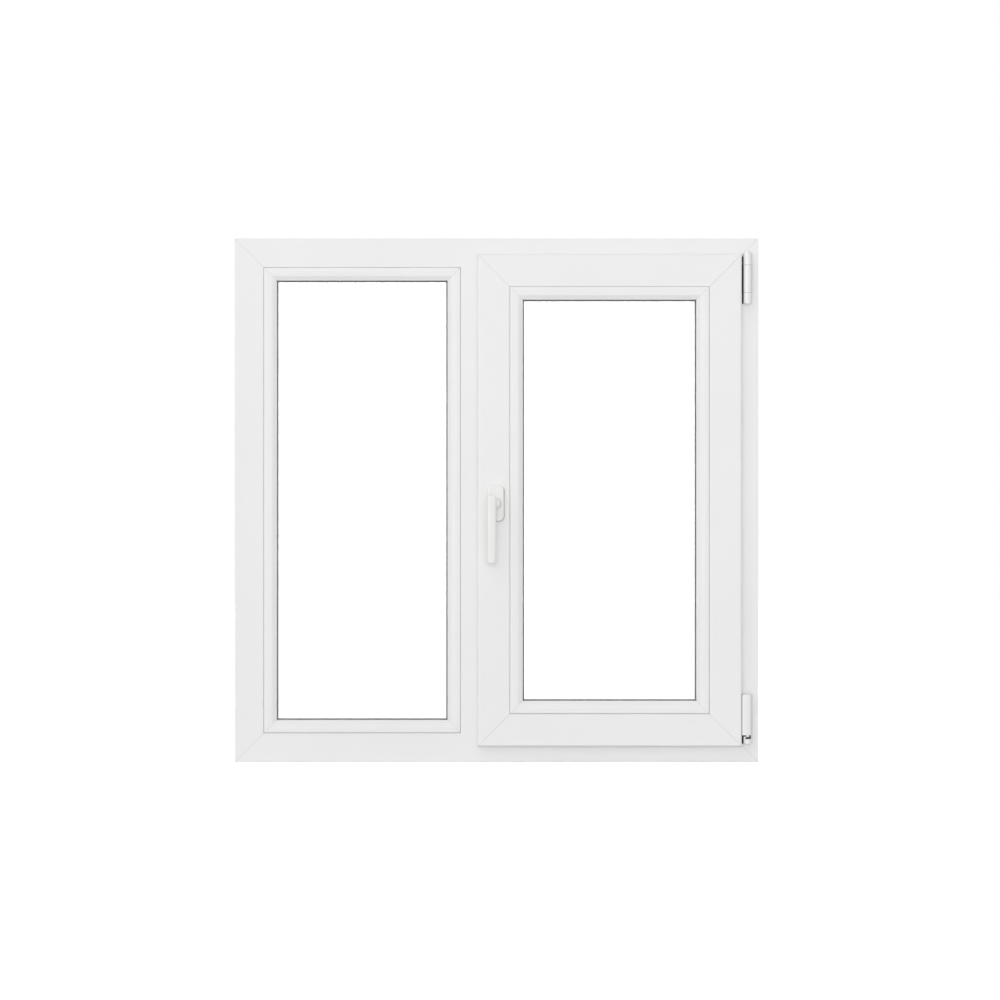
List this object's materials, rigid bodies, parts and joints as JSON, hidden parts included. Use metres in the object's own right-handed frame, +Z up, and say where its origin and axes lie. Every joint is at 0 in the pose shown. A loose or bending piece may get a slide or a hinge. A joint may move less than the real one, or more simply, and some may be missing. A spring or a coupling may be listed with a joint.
{
  "type": "tilt and turn window",
  "caption": "White PVC two-light window: a fixed glazed light beside a tilt and turn sash with a turning lever handle and side hinges.",
  "frame": {"origin": "middle of the flat underside of the outer frame's sill, halfway across its width and its depth", "axes": "+Z up, +X to the right as seen from the room, +Y towards the outside"},
  "size_m": [1, 0.134, 1],
  "materials": {
    "frame_white": "smooth satin uPVC, welded corners",
    "sash_white": "smooth satin uPVC, welded corners",
    "bead_white": "smooth satin uPVC",
    "cap_white": "moulded plastic",
    "glass": "clear float glass",
    "seal_grey": "soft extruded seal",
    "edge_sealant": "black sealant",
    "spacer_metal": "mill aluminium",
    "hinge_white": "white powder coat",
    "hinge_steel": "zinc-plated steel",
    "hinge_dark": "blackened steel strip",
    "handle_white": "white satin coat"
  },
  "bodies": {
    "window": {"bottom_hinge_cover": "hinge_white", "bottom_hinge_frame_plate": "hinge_dark", "bottom_hinge_pivot_pin": "hinge_steel", "bottom_hinge_pivot_rest": "hinge_white", "bottom_hinge_sash_leaf": "hinge_dark", "fixed_bead_bottom": "bead_white", "fixed_bead_left": "bead_white", "fixed_bead_right": "bead_white", "fixed_bead_top": "bead_white", "fixed_edge_sealant": "edge_sealant", "fixed_glass_seal_inside": "seal_grey", "fixed_glass_seal_outside": "seal_grey", "fixed_pane_inside": "glass", "fixed_pane_outside": "glass", "fixed_spacer_bar": "spacer_metal", "frame_drain_caps": "cap_white", "frame_head": "frame_white", "frame_jamb_left": "frame_white", "frame_jamb_right": "frame_white", "frame_rebate_seal": "seal_grey", "frame_sill": "frame_white", "handle_rosette": "handle_white", "mullion": "frame_white", "sash_bead_bottom": "bead_white", "sash_bead_left": "bead_white", "sash_bead_right": "bead_white", "sash_bead_top": "bead_white", "sash_edge_sealant": "edge_sealant", "sash_glass_seal_inside": "seal_grey", "sash_glass_seal_outside": "seal_grey", "sash_lip_seal": "seal_grey", "sash_pane_inside": "glass", "sash_pane_outside": "glass", "sash_rail_bottom": "sash_white", "sash_rail_top": "sash_white", "sash_spacer_bar": "spacer_metal", "sash_stile_handle": "sash_white", "sash_stile_hinge": "sash_white", "top_hinge_frame_plate": "hinge_dark", "top_hinge_lower_knuckle": "hinge_white", "top_hinge_pin": "hinge_steel", "top_hinge_sash_knuckle": "hinge_white", "top_hinge_sash_leaf": "hinge_dark", "top_hinge_upper_knuckle": "hinge_white"},
    "handle": {"handle_lever": "handle_white"}
  },
  "joints": [
    {"name": "handle_turn", "type": "hinge", "parent": "window", "child": "handle", "pos_m": [-0.001, -0.064, 0.4945], "axis": [0, -1, 0], "range_deg": [0, 180]}
  ]
}
